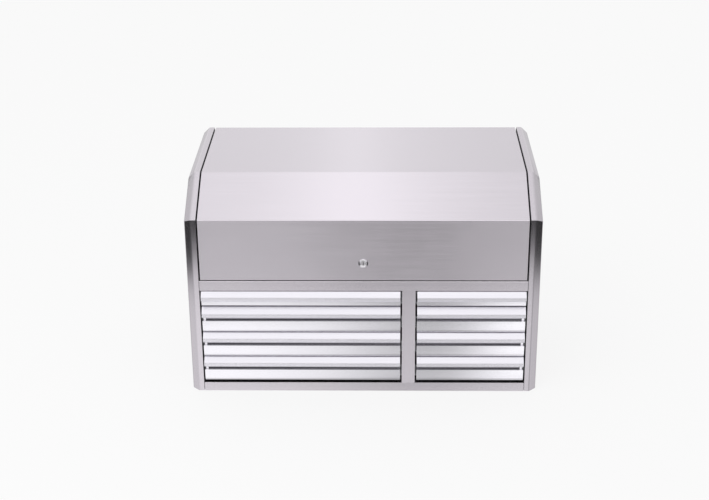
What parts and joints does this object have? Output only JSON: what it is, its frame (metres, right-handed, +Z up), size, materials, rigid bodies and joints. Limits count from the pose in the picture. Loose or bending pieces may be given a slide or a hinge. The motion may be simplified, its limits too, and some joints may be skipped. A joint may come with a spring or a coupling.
{
  "type": "tool chest",
  "caption": "Stainless-steel tool chest with a sloped lift-up lid over a till, two banks of sliding drawers with full-width pulls, bevelled end panels and a key lock.",
  "frame": {"origin": "middle of the base, on the surface that the chest stands on", "axes": "+Z up, +X to the right seen from the front, the drawers and the lid's front face -Y"},
  "size_m": [1.041, 0.58, 0.649],
  "materials": {
    "stainless": "brushed stainless steel sheet",
    "pull_metal": "satin extruded aluminium",
    "black_paint": "black powder coat",
    "zinc_plate": "bright zinc-plated steel",
    "chrome": "polished chrome plate"
  },
  "bodies": {
    "case": {"left_end_panel": "stainless", "right_end_panel": "stainless", "inner_walls": "black_paint", "back_panel": "black_paint", "base_pan": "black_paint", "till_floor": "black_paint", "top_rail": "stainless", "bottom_rail": "stainless", "centre_partition": "black_paint", "centre_post": "stainless", "cabinet_slides": "zinc_plate", "hinge_body_leaf": "zinc_plate", "strut_studs": "zinc_plate"},
    "lid": {"lid_shell": "stainless", "lid_stiffeners": "black_paint", "hinge_lid_leaf": "zinc_plate", "lock_housing": "chrome"},
    "lock": {"lock_core": "chrome"},
    "strut_tubes": {"strut_tubes": "black_paint"},
    "strut_rods": {"strut_rods": "chrome"},
    "left_drawer_1": {"left_drawer_1_tray": "black_paint", "left_drawer_1_front": "stainless", "left_drawer_1_pull": "pull_metal", "left_drawer_1_runners": "zinc_plate"},
    "left_drawer_1_mid": {"left_drawer_1_mid_slides": "zinc_plate"},
    "left_drawer_2": {"left_drawer_2_tray": "black_paint", "left_drawer_2_front": "stainless", "left_drawer_2_pull": "pull_metal", "left_drawer_2_runners": "zinc_plate"},
    "left_drawer_2_mid": {"left_drawer_2_mid_slides": "zinc_plate"},
    "left_drawer_3": {"left_drawer_3_tray": "black_paint", "left_drawer_3_front": "stainless", "left_drawer_3_pull": "pull_metal", "left_drawer_3_runners": "zinc_plate"},
    "left_drawer_3_mid": {"left_drawer_3_mid_slides": "zinc_plate"},
    "left_drawer_4": {"left_drawer_4_tray": "black_paint", "left_drawer_4_front": "stainless", "left_drawer_4_pull": "pull_metal", "left_drawer_4_runners": "zinc_plate"},
    "left_drawer_4_mid": {"left_drawer_4_mid_slides": "zinc_plate"},
    "right_drawer_1": {"right_drawer_1_tray": "black_paint", "right_drawer_1_front": "stainless", "right_drawer_1_pull": "pull_metal", "right_drawer_1_runners": "zinc_plate"},
    "right_drawer_1_mid": {"right_drawer_1_mid_slides": "zinc_plate"},
    "right_drawer_2": {"right_drawer_2_tray": "black_paint", "right_drawer_2_front": "stainless", "right_drawer_2_pull": "pull_metal", "right_drawer_2_runners": "zinc_plate"},
    "right_drawer_2_mid": {"right_drawer_2_mid_slides": "zinc_plate"},
    "right_drawer_3": {"right_drawer_3_tray": "black_paint", "right_drawer_3_front": "stainless", "right_drawer_3_pull": "pull_metal", "right_drawer_3_runners": "zinc_plate"},
    "right_drawer_3_mid": {"right_drawer_3_mid_slides": "zinc_plate"},
    "right_drawer_4": {"right_drawer_4_tray": "black_paint", "right_drawer_4_front": "stainless", "right_drawer_4_pull": "pull_metal", "right_drawer_4_runners": "zinc_plate"},
    "right_drawer_4_mid": {"right_drawer_4_mid_slides": "zinc_plate"}
  },
  "joints": [
    {"name": "lid_hinge", "type": "hinge", "parent": "case", "child": "lid", "pos_m": [0, 0.2773, 0.618], "axis": [-1, 0, 0], "range_deg": [0, 75]},
    {"name": "lock_turn", "type": "hinge", "parent": "lid", "child": "lock", "pos_m": [0, -0.2825, 0.424], "axis": [0, 1, 0], "range_deg": [0, 90]},
    {"name": "strut_swing", "type": "hinge", "parent": "case", "child": "strut_tubes", "pos_m": [0, 0.2273, 0.418], "axis": [-1, 0, 0], "range_deg": [0, 18.02]},
    {"name": "strut_stroke", "type": "slide", "parent": "strut_tubes", "child": "strut_rods", "axis": [0, -0.2496, 0.9684], "range_m": [0, 0.09532]},
    {"name": "left_drawer_1_slide", "type": "slide", "parent": "case", "child": "left_drawer_1", "axis": [0, -1, 0], "range_m": [0, 0.46]},
    {"name": "left_drawer_1_mid_slide", "type": "slide", "parent": "case", "child": "left_drawer_1_mid", "axis": [0, -1, 0], "range_m": [0, 0.23]},
    {"name": "left_drawer_2_slide", "type": "slide", "parent": "case", "child": "left_drawer_2", "axis": [0, -1, 0], "range_m": [0, 0.46]},
    {"name": "left_drawer_2_mid_slide", "type": "slide", "parent": "case", "child": "left_drawer_2_mid", "axis": [0, -1, 0], "range_m": [0, 0.23]},
    {"name": "left_drawer_3_slide", "type": "slide", "parent": "case", "child": "left_drawer_3", "axis": [0, -1, 0], "range_m": [0, 0.46]},
    {"name": "left_drawer_3_mid_slide", "type": "slide", "parent": "case", "child": "left_drawer_3_mid", "axis": [0, -1, 0], "range_m": [0, 0.23]},
    {"name": "left_drawer_4_slide", "type": "slide", "parent": "case", "child": "left_drawer_4", "axis": [0, -1, 0], "range_m": [0, 0.46]},
    {"name": "left_drawer_4_mid_slide", "type": "slide", "parent": "case", "child": "left_drawer_4_mid", "axis": [0, -1, 0], "range_m": [0, 0.23]},
    {"name": "right_drawer_1_slide", "type": "slide", "parent": "case", "child": "right_drawer_1", "axis": [0, -1, 0], "range_m": [0, 0.46]},
    {"name": "right_drawer_1_mid_slide", "type": "slide", "parent": "case", "child": "right_drawer_1_mid", "axis": [0, -1, 0], "range_m": [0, 0.23]},
    {"name": "right_drawer_2_slide", "type": "slide", "parent": "case", "child": "right_drawer_2", "axis": [0, -1, 0], "range_m": [0, 0.46]},
    {"name": "right_drawer_2_mid_slide", "type": "slide", "parent": "case", "child": "right_drawer_2_mid", "axis": [0, -1, 0], "range_m": [0, 0.23]},
    {"name": "right_drawer_3_slide", "type": "slide", "parent": "case", "child": "right_drawer_3", "axis": [0, -1, 0], "range_m": [0, 0.46]},
    {"name": "right_drawer_3_mid_slide", "type": "slide", "parent": "case", "child": "right_drawer_3_mid", "axis": [0, -1, 0], "range_m": [0, 0.23]},
    {"name": "right_drawer_4_slide", "type": "slide", "parent": "case", "child": "right_drawer_4", "axis": [0, -1, 0], "range_m": [0, 0.46]},
    {"name": "right_drawer_4_mid_slide", "type": "slide", "parent": "case", "child": "right_drawer_4_mid", "axis": [0, -1, 0], "range_m": [0, 0.23]}
  ],
  "couplings": [
    {"joint": "strut_swing", "follows": "lid_hinge", "ratio": 0.24008},
    {"joint": "strut_stroke", "follows": "lid_hinge", "m_per_rad": 0.07278},
    {"joint": "left_drawer_1_mid_slide", "follows": "left_drawer_1_slide", "ratio": 0.5},
    {"joint": "left_drawer_2_mid_slide", "follows": "left_drawer_2_slide", "ratio": 0.5},
    {"joint": "left_drawer_3_mid_slide", "follows": "left_drawer_3_slide", "ratio": 0.5},
    {"joint": "left_drawer_4_mid_slide", "follows": "left_drawer_4_slide", "ratio": 0.5},
    {"joint": "right_drawer_1_mid_slide", "follows": "right_drawer_1_slide", "ratio": 0.5},
    {"joint": "right_drawer_2_mid_slide", "follows": "right_drawer_2_slide", "ratio": 0.5},
    {"joint": "right_drawer_3_mid_slide", "follows": "right_drawer_3_slide", "ratio": 0.5},
    {"joint": "right_drawer_4_mid_slide", "follows": "right_drawer_4_slide", "ratio": 0.5}
  ]
}
